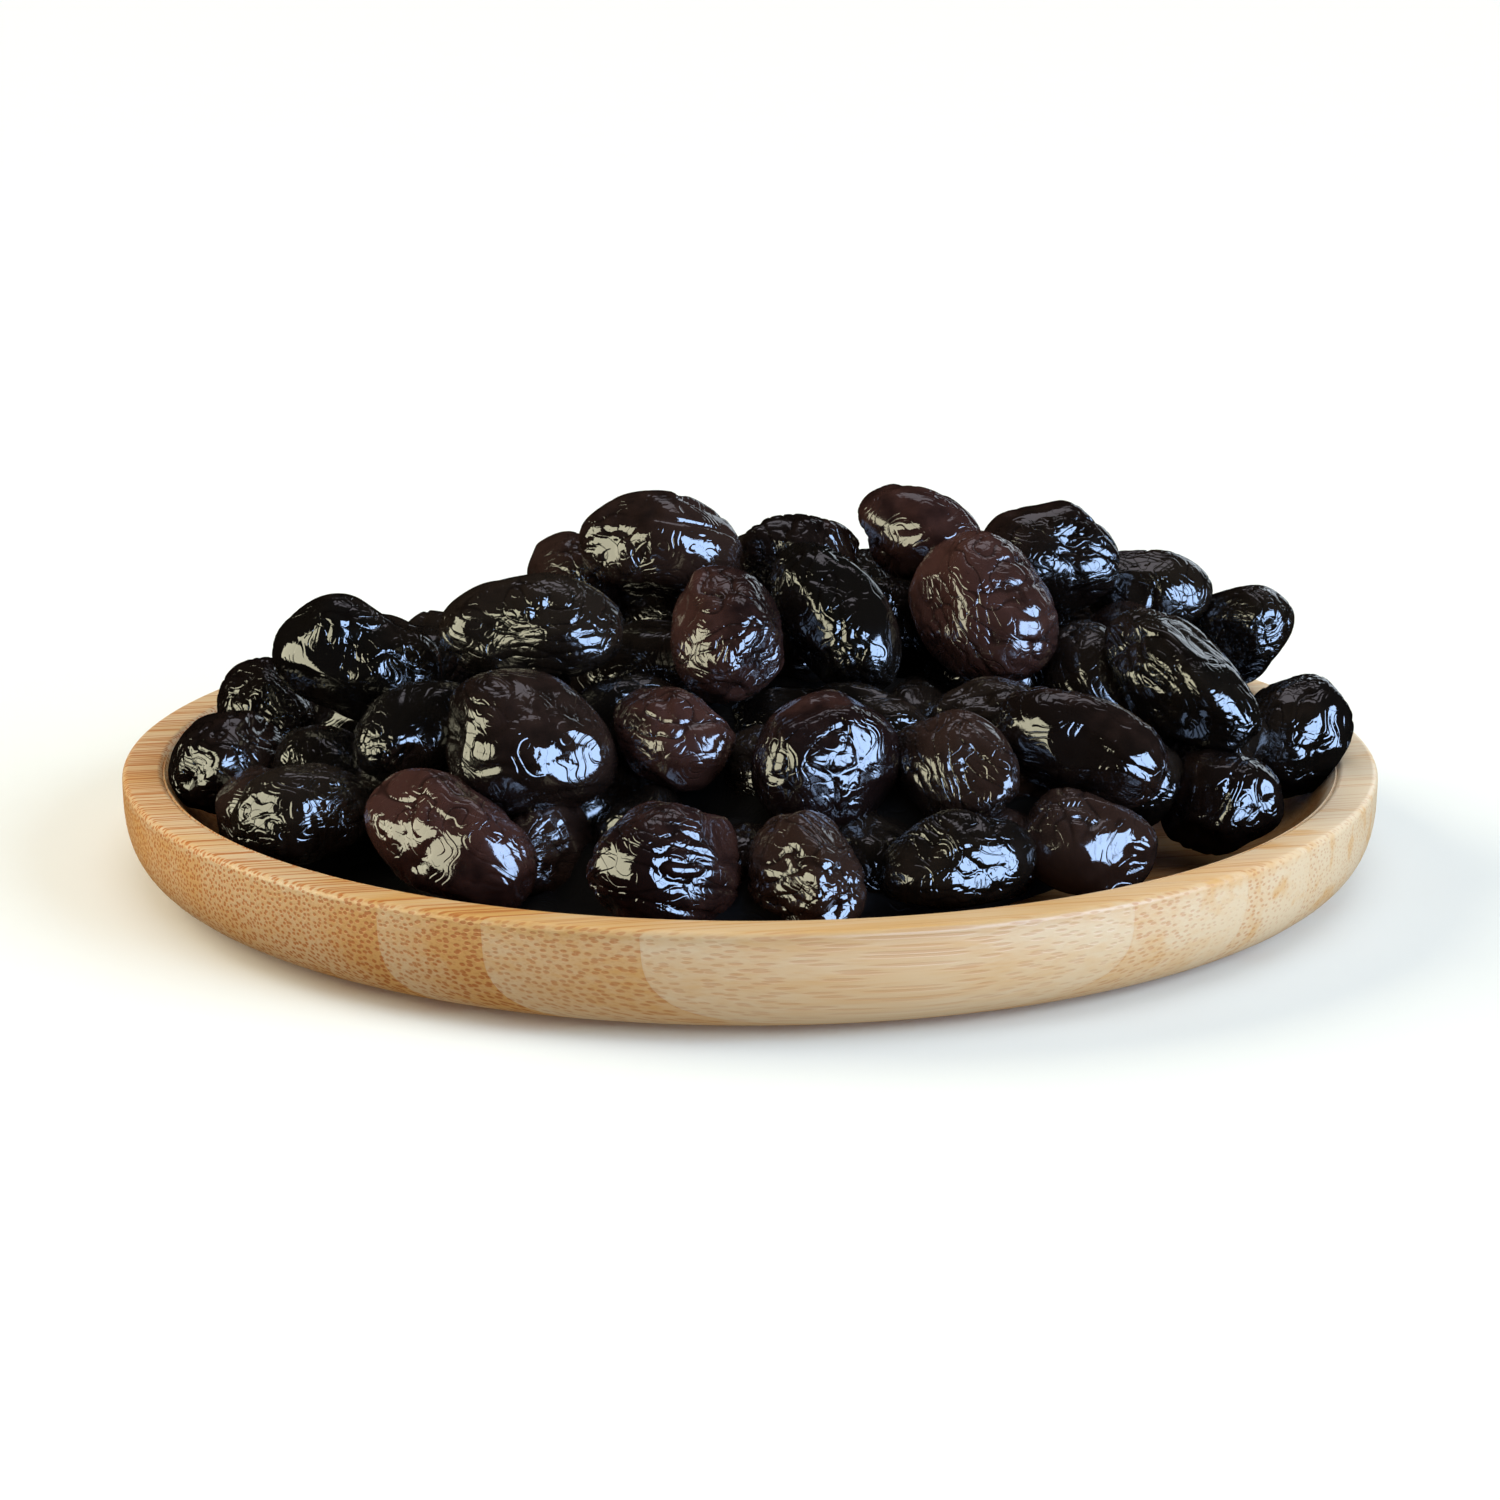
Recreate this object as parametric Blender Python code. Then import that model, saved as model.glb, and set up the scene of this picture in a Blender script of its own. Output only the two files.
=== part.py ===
"""A dish of wrinkled black olives: a turned bamboo dish, heaped over its rim with soft oil-cured olives.

The origin is the middle of the dish's foot, +Z is up and -Y is the front. Sizes here are in
millimetres and degrees, and each mesh is written in metres.
"""
import math
import random

import bmesh
import bpy
import numpy as np

MM = 0.001
NEAR_ZERO = 1e-12

# The dish, turned from a laminated board
DISH_RADIUS = 90.0
DISH_HEIGHT = 15.0
FOOT_RADIUS = 71.0
RIM_WIDTH = 5.7
RIM_EDGE = 0.7
RIM_ARCS = ((0, 90), (90, 160))
RIM_ARC_STEP = 30
FLOOR = 6.0
FLOOR_RADIUS = 72.0
WALL_POWER = 2.2
SIDE_DROP_POWER = 3.3
SIDE_ROUND_POWER = 3.5
SIDE_STEPS = 8
SIDE_CROWDING = 1.9
WALL_STEPS = 6
WALL_TOP_GAP = 0.6
DISH_SECTORS = 64
INSIDE_RADIUS = DISH_RADIUS - RIM_WIDTH
SHARP_ANGLE = math.radians(50)
WELD = 1e-6

# How the olives keep off the dish
CLEAR = 0.5
OVER_RIM_SLOPE = 0.6

# Each solid olive: sectors round its length and rings along it, in plain sight and half hidden
SHOWN_SIDES = (8, 6)
UNDER_SIDES = (6, 5)
OLIVE_SWELL = 1.03

# How an olive's skin has sunk in, as shares of its half girth
TAPER = 0.09
DENTS = 5
DENT_DEPTH = (0.02, 0.09)
DENT_SPREAD = (0.05, 0.16)
FLATS = 3
FLAT_NEARNESS = (0.88, 0.95)
FLAT_LEAN = np.array([0.5, 1.0, 1.0])

# The olives that show from the front, placed by hand:
# middle x, y, z, length, girth, heading from +X counter-clockwise, rise
FRONT_OLIVES = [
    (-72.5, -18, 17.5, 20, 15, 235, -10),
    (-59.5, -40, 15.5, 20, 13.5, 12, 4),
    (-38.5, -55, 16, 26, 16, -35, -16),
    (-11, -64, 15.5, 21, 17.5, 200, -5),
    (7, -63, 15, 20, 14.5, -70, -10),
    (26, -60, 15, 20.5, 13, 15, 4),
    (43, -52, 15, 19.5, 13, -10, -5),
    (63.5, -33, 15, 18, 16, -50, 25),
    (78, -8, 18.5, 20.5, 15, 30, 55),
    (-45.5, -37, 26, 19, 13, 30, 18),
    (-28.5, -44, 26, 22.5, 20, 215, 15),
    (-10, -42, 27, 18.5, 14, -20, -12),
    (10, -47, 25, 19.5, 17, 20, 12),
    (27, -47, 24, 18.5, 14.5, -50, -20),
    (43, -43, 26, 23, 14.5, -20, -18),
    (-55, -16, 32, 24.5, 17.5, -5, -10),
    (-30.3, -25, 37.5, 25.5, 15, -5, -1),
    (-3.4, -25.5, 37.5, 21, 17, -80, -35),
    (12, -19, 38, 26, 14.5, -50, -40),
    (32.8, -14, 38, 24, 19, -60, -50),
    (59.5, -26, 30.5, 26, 14.5, -40, -30),
    (-12.8, -6, 45, 23.5, 16, -5, -8),
    (24.3, 2, 46.5, 20, 14.5, -25, -15),
    (7.2, 4, 42, 18, 13.5, 15, -5),
    (43.5, 1, 42.5, 21, 16.5, -10, -5),
    (-25.5, 7, 37.7, 19, 14, 100, 0),
    (-45, -3, 28.5, 20, 14, 80, 0),
    (72, 6, 30, 19, 14.5, -70, 20),
    (59, 7, 35.5, 18, 13.5, 170, 5),
    (-71, 4, 19.5, 19, 14, 120, 5),
    (21, -2, 33.5, 20, 13.5, 60, -20),
    (47, -13, 28.5, 20, 13.5, -60, -35),
    (55, -6, 29.5, 19, 13.5, -80, -20),
    (52, -31, 17.5, 19, 13.5, -80, 10),
    (-13.5, -47, 15.5, 18, 13, 85, 0),
]

# The olives of the layer below, which the gaps between those show
UNDER_OLIVES = [
    (-27, -50, 14, 17, 13, 60, 5),
    (-1.5, -53, 12.5, 17, 13, 90, -8),
    (16, -51, 13, 17, 13, 95, 10),
    (33, -47, 13, 17, 13, 90, -5),
    (-42, -25, 22, 20, 14, 160, 8),
    (-18, -30, 25, 19, 14, 0, 15),
    (2, -36, 20, 19, 14, 100, -10),
    (15, -31, 25, 20, 14, 160, 5),
    (33, -30, 25, 20, 14, 20, -12),
    (66, -18, 19, 19, 14, 60, 0),
    (-59, -24, 17, 19, 14, 100, 12),
]

# The rest of the heap, dropped by rule behind those
SEED = 7
DROPS = 12000
REACH = 75.0
GIRTH = (13.5, 16.5)
LENGTH_PER_GIRTH = (1.3, 1.55)
STEEPEST_RISE = 18.0
SQUEEZE = 2.0
DROP_STEP = 1.0
LAYERS = ((0.0, 7.0), (7.0, 13.0))
CROWN_MIDDLE = (12.0, -6.0)
CROWN_RADIUS = 86.0
CROWN_FOOT = 14.5
CROWN_RISE = 30.0
CROWN_POWER = 1.7
SPINE_BALLS = 5
UNDER_SEEDS = 500
FRONT_EYE = np.array([0.0, -470.0, 137.0])
FRONT_RISE = math.radians(14.55)
COVER_SHARE = 0.85
BEHIND = 4.0
BELOW_SKYLINE = 0.6
SKYLINE_ANGLES = (math.radians(45), math.radians(90), math.radians(135))

# The core under the olives that show
CORE_RINGS = 12
CORE_SECTORS = 30
CORE_DEPTH = 5.0
CORE_BLUR = 7.0
CORE_LIFT = 8.0
CORE_EDGE = 3.0

DISH_COLOUR = (0.62, 0.41, 0.22, 1.0)
DISH_ROUGHNESS = 0.45
OLIVE_COLOUR = (0.014, 0.008, 0.008, 1.0)
OLIVE_ROUGHNESS = 0.25


def clear_scene():
    """Remove the objects that the scene holds."""
    for thing in list(bpy.data.objects):
        bpy.data.objects.remove(thing, do_unlink=True)


def material(name, colour, roughness):
    """A plain non-metal finish."""
    finish = bpy.data.materials.new(name)
    finish.use_nodes = True
    shader = finish.node_tree.nodes["Principled BSDF"]
    shader.inputs["Base Color"].default_value = colour
    shader.inputs["Roughness"].default_value = roughness
    shader.inputs["Metallic"].default_value = 0.0
    return finish


def new_object(name, points, faces, finish=None):
    """An object in the scene, from points in millimetres."""
    mesh = bpy.data.meshes.new(name)
    mesh.from_pydata((np.asarray(points) * MM).tolist(), [], faces)
    mesh.shade_smooth()
    if finish:
        mesh.materials.append(finish)
    thing = bpy.data.objects.new(name, mesh)
    bpy.context.scene.collection.objects.link(thing)
    return thing


def wall_height(radius):
    """Height of the dish's inside over a distance from its middle."""
    out = max(0.0, (radius - FLOOR_RADIUS) / (INSIDE_RADIUS - FLOOR_RADIUS))
    return FLOOR + (DISH_HEIGHT - FLOOR) * out ** WALL_POWER


def room(height):
    """How far out food may reach at a height, clear of the dish's inside and of its rim."""
    rise = np.clip((height - FLOOR) / (DISH_HEIGHT - FLOOR), 0.0, 1.0)
    inside = FLOOR_RADIUS + (INSIDE_RADIUS - FLOOR_RADIUS) * rise ** (1 / WALL_POWER) - CLEAR
    return inside + OVER_RIM_SLOPE * np.maximum(0.0, height - DISH_HEIGHT)


def settle(points):
    """Flatten points of food against the dish, where they would cross it."""
    points = np.array(points, dtype=float)
    points[:, 2] = np.maximum(points[:, 2], FLOOR + CLEAR)
    away = np.maximum(np.hypot(points[:, 0], points[:, 1]), NEAR_ZERO)
    points[:, :2] *= np.minimum(1.0, room(points[:, 2]) / away)[:, None]
    return points


def dish_profile():
    """Half the dish's section, from the middle of its foot out, up, over the rim and back in."""
    side = []
    for step in range(1, SIDE_STEPS):
        drop = 1.0 - (step / SIDE_STEPS) ** SIDE_CROWDING
        spread = (1 - drop ** SIDE_DROP_POWER) ** (1 / SIDE_ROUND_POWER)
        side.append((FOOT_RADIUS + (DISH_RADIUS - FOOT_RADIUS) * spread, (1 - drop) * (DISH_HEIGHT - RIM_EDGE)))
    rim = []
    for middle, (first, last) in zip((DISH_RADIUS - RIM_EDGE, INSIDE_RADIUS + RIM_EDGE), RIM_ARCS):
        for turn in range(first, last + 1, RIM_ARC_STEP):
            angle = math.radians(turn)
            rim.append((middle + RIM_EDGE * math.cos(angle), DISH_HEIGHT - RIM_EDGE * (1 - math.sin(angle))))
    radii = np.linspace(INSIDE_RADIUS - WALL_TOP_GAP, FLOOR_RADIUS, WALL_STEPS)
    wall = [(radius, wall_height(radius)) for radius in radii]
    return [(0.0, 0.0), (FOOT_RADIUS, 0.0)] + side + rim + wall + [(0.0, FLOOR)]


def build_dish():
    """The dish, its section turned about the upright through its middle."""
    mesh = bmesh.new()
    points = [mesh.verts.new((radius * MM, 0.0, height * MM)) for radius, height in dish_profile()]
    edges = [mesh.edges.new(pair) for pair in zip(points, points[1:])]
    bmesh.ops.spin(mesh, geom=points + edges, cent=(0, 0, 0), axis=(0, 0, 1), angle=math.tau,
                   steps=DISH_SECTORS, use_duplicate=False)
    bmesh.ops.remove_doubles(mesh, verts=mesh.verts, dist=WELD)
    bmesh.ops.triangulate(mesh, faces=mesh.faces)
    bmesh.ops.recalc_face_normals(mesh, faces=mesh.faces)
    dish = new_object("dish", [], [], material("bamboo", DISH_COLOUR, DISH_ROUGHNESS))
    mesh.to_mesh(dish.data)
    mesh.free()
    dish.data.shade_smooth()
    dish.data.set_sharp_from_angle(angle=SHARP_ANGLE)


def bearings(heading, rise):
    """An olive's own directions: along it, across it level, and across it upright, as rows."""
    turn, lift = math.radians(heading), math.radians(rise)
    along = np.array([math.cos(lift) * math.cos(turn), math.cos(lift) * math.sin(turn), math.sin(lift)])
    across = np.array([-math.sin(turn), math.cos(turn), 0.0])
    return np.stack([along, across, np.cross(along, across)])


def spine(olive):
    """Middles of the equal balls that stand for an olive."""
    x, y, z, length, girth, heading, rise = olive
    steps = np.linspace(-1, 1, SPINE_BALLS)[:, None]
    return np.array([x, y, z]) + steps * bearings(heading, rise)[0] * (length - girth) / 2


def from_front(points):
    """Where points stand in the view from the front: to the right, up, and how far away."""
    way = points - FRONT_EYE
    far = way[..., 1] * math.cos(FRONT_RISE) - way[..., 2] * math.sin(FRONT_RISE)
    up = way[..., 1] * math.sin(FRONT_RISE) + way[..., 2] * math.cos(FRONT_RISE)
    return way[..., 0] / far, up / far, far


def crown(x, y):
    """Height of the middles of the outermost olives over a place on the dish."""
    away = math.hypot(x - CROWN_MIDDLE[0], y - CROWN_MIDDLE[1])
    return CROWN_FOOT + CROWN_RISE * max(0.0, 1 - (away / CROWN_RADIUS) ** CROWN_POWER)


def hidden(balls, radius, front, front_radii):
    """Whether an olive stays behind the placed ones and under their skyline."""
    right, up, far = (part.ravel() for part in from_front(front))
    wide = np.repeat(front_radii, SPINE_BALLS) / far
    for r, u, d in zip(*from_front(balls)):
        near = np.hypot(right - r, up - u) < COVER_SHARE * (wide + radius / d)
        if np.any(far[near] > d - BEHIND):
            return False
        for angle in SKYLINE_ANGLES:
            edge = r + radius / d * math.cos(angle)
            top = u + (radius + BELOW_SKYLINE) / d * math.sin(angle)
            half = wide ** 2 - (right - edge) ** 2
            if not np.any(up + np.sqrt(np.maximum(half, 0.0)) > np.where(half > 0, top, np.inf)):
                return False
    return True


def heap():
    """The olives in plain sight and those half hidden: the placed ones, then those dropped by rule."""
    rng = random.Random(SEED)
    layers = (list(FRONT_OLIVES), list(UNDER_OLIVES))
    spines = [spine(olive) for layer in layers for olive in layer]
    radii = [olive[4] / 2 for layer in layers for olive in layer]
    front = np.array(spines[:len(FRONT_OLIVES)])
    front_radii = np.array(radii[:len(FRONT_OLIVES)])
    for drop in range(DROPS * len(LAYERS)):
        highest, deepest = LAYERS[drop // DROPS]
        bearing, away = rng.uniform(0, math.tau), REACH * math.sqrt(rng.random())
        x, y = away * math.cos(bearing), away * math.sin(bearing)
        girth = rng.uniform(*GIRTH)
        length = girth * rng.uniform(*LENGTH_PER_GIRTH)
        heading, rise = rng.uniform(0, 360), rng.uniform(-STEEPEST_RISE, STEEPEST_RISE)
        top = crown(x, y) - highest
        z = max(FLOOR + CLEAR + girth / 2, crown(x, y) - deepest)
        balls = spine((x, y, z, length, girth, heading, rise))
        if z > top or np.hypot(balls[:, 0], balls[:, 1]).max() + girth / 2 > INSIDE_RADIUS:
            continue
        lifts = np.arange(0.0, top - z + DROP_STEP, DROP_STEP)
        way = np.array(spines)[:, :, None] - balls
        apart = way[..., 0] ** 2 + way[..., 1] ** 2 + (way[..., 2] - lifts[:, None, None, None]) ** 2
        free = np.all(apart.min(axis=(2, 3)) > (np.array(radii) + girth / 2 - SQUEEZE) ** 2, axis=1)
        if not free.any():
            continue
        lift = lifts[free.argmax()]
        z, balls = z + lift, balls + np.array([0.0, 0.0, lift])
        if hidden(balls, girth / 2, front, front_radii):
            layers[drop // DROPS].append((x, y, float(z), length, girth, heading, rise))
            spines.append(balls)
            radii.append(girth / 2)
    return layers


def form(directions, seed):
    """How far an olive's skin lies from its middle, as a share of the plain egg, in unit directions."""
    rng = np.random.default_rng(seed)
    share = 1.0 + rng.uniform(-TAPER, TAPER) * directions[:, 0]
    for _ in range(DENTS):
        dent = rng.normal(size=3)
        dent /= np.linalg.norm(dent)
        share -= rng.uniform(*DENT_DEPTH) * np.exp((directions @ dent - 1) / rng.uniform(*DENT_SPREAD))
    for _ in range(FLATS):
        flat = rng.normal(size=3) * FLAT_LEAN
        flat /= np.linalg.norm(flat)
        facing = np.maximum(directions @ flat, NEAR_ZERO)
        share = np.minimum(share, rng.uniform(*FLAT_NEARNESS) / facing)
    return share


def olive_points(olive, seed, directions):
    """Points of an olive's skin in the given unit directions, settled into the dish."""
    x, y, z, length, girth, heading, rise = olive
    whole = (form(np.eye(3), seed) + form(-np.eye(3), seed)) / 2
    half = np.array([length, girth, girth]) / 2 * OLIVE_SWELL / whole
    local = directions * half * form(directions, seed)[:, None]
    return settle(local @ bearings(heading, rise) + np.array([x, y, z]))


def ball(sectors, rings):
    """A ball's unit directions and faces, its poles at both ends of X."""
    directions = [(1.0, 0.0, 0.0)]
    for ring in range(1, rings):
        slant = math.pi * ring / rings
        for sector in range(sectors):
            turn = math.tau * (sector + 0.5 * (ring % 2)) / sectors
            directions.append((math.cos(slant), math.sin(slant) * math.cos(turn), math.sin(slant) * math.sin(turn)))
    directions.append((-1.0, 0.0, 0.0))
    last, faces = len(directions) - 1, []
    for sector in range(sectors):
        following = (sector + 1) % sectors
        faces.append((0, 1 + sector, 1 + following))
        faces.append((last, last - sectors + following, last - sectors + sector))
        for ring in range(rings - 2):
            near, far = 1 + ring * sectors, 1 + (ring + 1) * sectors
            if ring % 2:
                faces.append((near + sector, far + sector, near + following))
                faces.append((near + following, far + sector, far + following))
            else:
                faces.append((near + sector, far + sector, far + following))
                faces.append((near + sector, far + following, near + following))
    return np.array(directions), faces


def core_height(x, y, middles):
    """Height of the core's top, a little under the middles of the highest olives round that place."""
    near = np.exp(-((middles[:, 0] - x) ** 2 + (middles[:, 1] - y) ** 2) / (2 * CORE_BLUR ** 2))
    near *= np.exp(middles[:, 2] / CORE_LIFT)
    return float((near * middles[:, 2]).sum() / (near.sum() + NEAR_ZERO)) - CORE_DEPTH


def build_core(olives):
    """The closed mound that carries the olives that show."""
    middles = np.array([olive[:3] for olive in olives])
    edge = room(FLOOR + CORE_EDGE) - CLEAR
    points, faces = [(0.0, 0.0, core_height(0, 0, middles)), (0.0, 0.0, FLOOR + CLEAR)], []
    for ring in range(1, CORE_RINGS + 1):
        radius = edge * ring / CORE_RINGS
        for sector in range(CORE_SECTORS):
            turn = math.tau * sector / CORE_SECTORS
            x, y = radius * math.cos(turn), radius * math.sin(turn)
            height = FLOOR + CORE_EDGE if ring == CORE_RINGS else core_height(x, y, middles)
            points.append((x, y, max(height, FLOOR + CORE_EDGE)))
    skirt = len(points)
    for sector in range(CORE_SECTORS):
        turn = math.tau * sector / CORE_SECTORS
        radius = room(FLOOR + CLEAR) - CLEAR
        points.append((radius * math.cos(turn), radius * math.sin(turn), FLOOR + CLEAR))
    for sector in range(CORE_SECTORS):
        following = (sector + 1) % CORE_SECTORS
        faces.append((0, 2 + sector, 2 + following))
        for ring in range(CORE_RINGS):
            near, far = 2 + ring * CORE_SECTORS, 2 + (ring + 1) * CORE_SECTORS
            far = skirt if ring == CORE_RINGS - 1 else far
            faces.append((near + sector, far + sector, far + following))
            faces.append((near + sector, far + following, near + following))
        faces.append((1, skirt + following, skirt + sector))
    return new_object("olives", settle(points), faces, material("olive_skin", OLIVE_COLOUR, OLIVE_ROUGHNESS))


def keep_largest(mesh_object):
    """Drop loose scraps and sealed hollows: every shell but the largest."""
    mesh = bmesh.new()
    mesh.from_mesh(mesh_object.data)
    left, shells = set(mesh.verts), []
    while left:
        stack, shell = [left.pop()], []
        while stack:
            corner = stack.pop()
            shell.append(corner)
            for edge in corner.link_edges:
                other = edge.other_vert(corner)
                if other in left:
                    left.remove(other)
                    stack.append(other)
        shells.append(shell)
    shells.sort(key=len)
    for shell in shells[:-1]:
        bmesh.ops.delete(mesh, geom=shell, context="VERTS")
    bmesh.ops.triangulate(mesh, faces=mesh.faces)
    mesh.to_mesh(mesh_object.data)
    mesh.free()


def build_olives():
    """The heap out to its uneven outline: the core with every olive fused on."""
    layers = heap()
    core = build_core(layers[0] + layers[1])
    pieces = bpy.data.collections.new("pieces")
    for first, layer, sides in zip((0, UNDER_SEEDS), layers, (SHOWN_SIDES, UNDER_SIDES)):
        directions, faces = ball(*sides)
        for number, olive in enumerate(layer):
            points = olive_points(olive, first + number, directions)
            piece = new_object(f"piece{first + number}", points, faces)
            bpy.context.scene.collection.objects.unlink(piece)
            pieces.objects.link(piece)
    bpy.context.scene.collection.children.link(pieces)
    union = core.modifiers.new("union", "BOOLEAN")
    union.operation, union.operand_type, union.solver = "UNION", "COLLECTION", "EXACT"
    union.collection = pieces
    bpy.context.view_layer.objects.active = core
    bpy.ops.object.modifier_apply(modifier=union.name)
    for piece in list(pieces.objects):
        bpy.data.objects.remove(piece, do_unlink=True)
    bpy.data.collections.remove(pieces)
    keep_largest(core)
    core.data.shade_smooth()
    core.data.set_sharp_from_angle(angle=SHARP_ANGLE)


clear_scene()
build_dish()
build_olives()
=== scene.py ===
import logging
import math
import random
from dataclasses import dataclass
from enum import Enum

import bpy
import numpy as np
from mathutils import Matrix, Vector


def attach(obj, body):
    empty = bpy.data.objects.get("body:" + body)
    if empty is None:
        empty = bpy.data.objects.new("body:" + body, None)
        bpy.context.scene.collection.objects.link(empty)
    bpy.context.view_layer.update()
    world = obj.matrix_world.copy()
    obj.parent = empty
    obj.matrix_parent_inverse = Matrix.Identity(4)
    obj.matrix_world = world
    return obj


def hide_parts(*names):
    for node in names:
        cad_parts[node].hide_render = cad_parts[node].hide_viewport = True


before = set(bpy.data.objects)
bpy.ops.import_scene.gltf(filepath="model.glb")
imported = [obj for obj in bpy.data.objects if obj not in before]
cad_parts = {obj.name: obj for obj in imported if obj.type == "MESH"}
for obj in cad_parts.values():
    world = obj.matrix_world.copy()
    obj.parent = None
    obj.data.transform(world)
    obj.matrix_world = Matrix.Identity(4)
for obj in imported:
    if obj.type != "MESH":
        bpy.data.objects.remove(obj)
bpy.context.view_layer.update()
LOG = logging.getLogger("dish_of_olives")
MM = 0.001
Vector3 = tuple[float, float, float]
Band = tuple[float, float]


class Value:
    """A number that flows through a material: Python's operators on it add Math nodes."""

    def __init__(self, finish: "NodeFinish", socket: bpy.types.NodeSocket) -> None:
        """Wrap an output socket of a finish's tree."""
        self.finish = finish
        self.socket = socket

    def math(self, operation: str, *others: "Value | float") -> "Value":
        """Feed this value and others through one Math node.

        Args:
            operation: The Math node's operation.
            others: The values or numbers for its other inputs.

        Returns:
            The node's result.
        """
        inputs = dict(enumerate((self, *others)))
        return self.finish.value("ShaderNodeMath", {"operation": operation}, inputs)

    def __add__(self, other: "Value | float") -> "Value":
        """Add."""
        return self.math("ADD", other)

    def __sub__(self, other: "Value | float") -> "Value":
        """Subtract."""
        return self.math("SUBTRACT", other)

    def __rsub__(self, other: float) -> "Value":
        """Subtract from a number."""
        return (self * -1.0) + other

    def __mul__(self, other: "Value | float") -> "Value":
        """Multiply."""
        return self.math("MULTIPLY", other)

    def __truediv__(self, other: "Value | float") -> "Value":
        """Divide."""
        return self.math("DIVIDE", other)

    def __pow__(self, other: float) -> "Value":
        """Raise to a power."""
        return self.math("POWER", other)

    def __abs__(self) -> "Value":
        """Drop the sign."""
        return self.math("ABSOLUTE")

    __radd__ = __add__
    __rmul__ = __mul__

    def between(self, low: float, high: float) -> "Value":
        """Rise smoothly from 0 at low to 1 at high, or fall where high is the lower one.

        Args:
            low: Where the result is 0.
            high: Where the result is 1.

        Returns:
            The eased share.
        """
        settings = {"interpolation_type": "SMOOTHSTEP"}
        inputs = {"Value": self, "From Min": low, "From Max": high}
        return self.finish.value("ShaderNodeMapRange", settings, inputs)


class NodeFinish:
    """A material whose pattern is worked out by nodes."""

    def __init__(self, name: str) -> None:
        """Start a material with its Principled shader alone."""
        self.material = bpy.data.materials.new(name)
        self.material.use_nodes = True
        self.tree = self.material.node_tree
        self.shader = self.tree.nodes["Principled BSDF"]

    def node(self, kind: str, settings: dict | None = None,
             inputs: dict | None = None) -> bpy.types.Node:
        """Add one node.

        Args:
            kind: The node's type.
            settings: Its own settings, set first.
            inputs: What its sockets hold, by name or number: values or links.

        Returns:
            The node.
        """
        made = self.tree.nodes.new(kind)
        for name, setting in (settings or {}).items():
            setattr(made, name, setting)
        for name, value in (inputs or {}).items():
            self.feed(made.inputs[name], value)
        return made

    def feed(self, socket: bpy.types.NodeSocket, value: "Value | float | tuple") -> None:
        """Link a value to a socket, or set a constant on it."""
        if isinstance(value, Value):
            self.tree.links.new(value.socket, socket)
        else:
            socket.default_value = value

    def value(self, kind: str, settings: dict | None = None, inputs: dict | None = None,
              output: int | str = 0) -> Value:
        """Add one node and take one of its outputs.

        Args:
            kind: The node's type.
            settings: Its own settings.
            inputs: What its sockets hold.
            output: The output's name or number.

        Returns:
            That output.
        """
        return Value(self, self.node(kind, settings, inputs).outputs[output])

    def mix(self, share: Value | float, first: Value | tuple, second: Value | tuple,
            blend: str = "MIX") -> Value:
        """Mix two colours.

        Args:
            share: How much of the second.
            first: The first colour.
            second: The second colour.
            blend: The way they meet.

        Returns:
            The mixed colour.
        """
        first, second = ((*c, 1.0) if isinstance(c, tuple) else c for c in (first, second))
        settings = {"data_type": "RGBA", "blend_type": blend}
        return self.value("ShaderNodeMix", settings, {0: share, 6: first, 7: second}, 2)

    def parts(self, vector: Value) -> list[Value]:
        """Split a vector into its three numbers."""
        split = self.node("ShaderNodeSeparateXYZ", None, {0: vector})
        return [Value(self, output) for output in split.outputs]

    def vector(self, *numbers: Value | float) -> Value:
        """Join three numbers into a vector."""
        return self.value("ShaderNodeCombineXYZ", None, dict(enumerate(numbers)))

    def noise(self, vector: Value, scale: float, detail: float = 2.0) -> Value:
        """Soft noise round 0.5 on a vector."""
        inputs = {"Vector": vector, "Scale": scale, "Detail": detail}
        return self.value("ShaderNodeTexNoise", None, inputs)

    def attribute(self, name: str) -> Value:
        """A vector that the piece's points carry."""
        return self.value("ShaderNodeAttribute", {"attribute_name": name}, None, "Vector")

    def bump(self, height: Value) -> None:
        """Raise the surface by a height in metres."""
        inputs = {"Strength": 1.0, "Distance": 1.0, "Height": height}
        self.feed(self.shader.inputs["Normal"], self.value("ShaderNodeBump", None, inputs))

    def dress(self, piece: bpy.types.Object, slot: str) -> None:
        """Give the material to a piece.

        Args:
            piece: The object to dress.
            slot: A material slot's name; it is not used.
        """
        piece.data.materials.clear()
        piece.data.materials.append(self.material)


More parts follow.
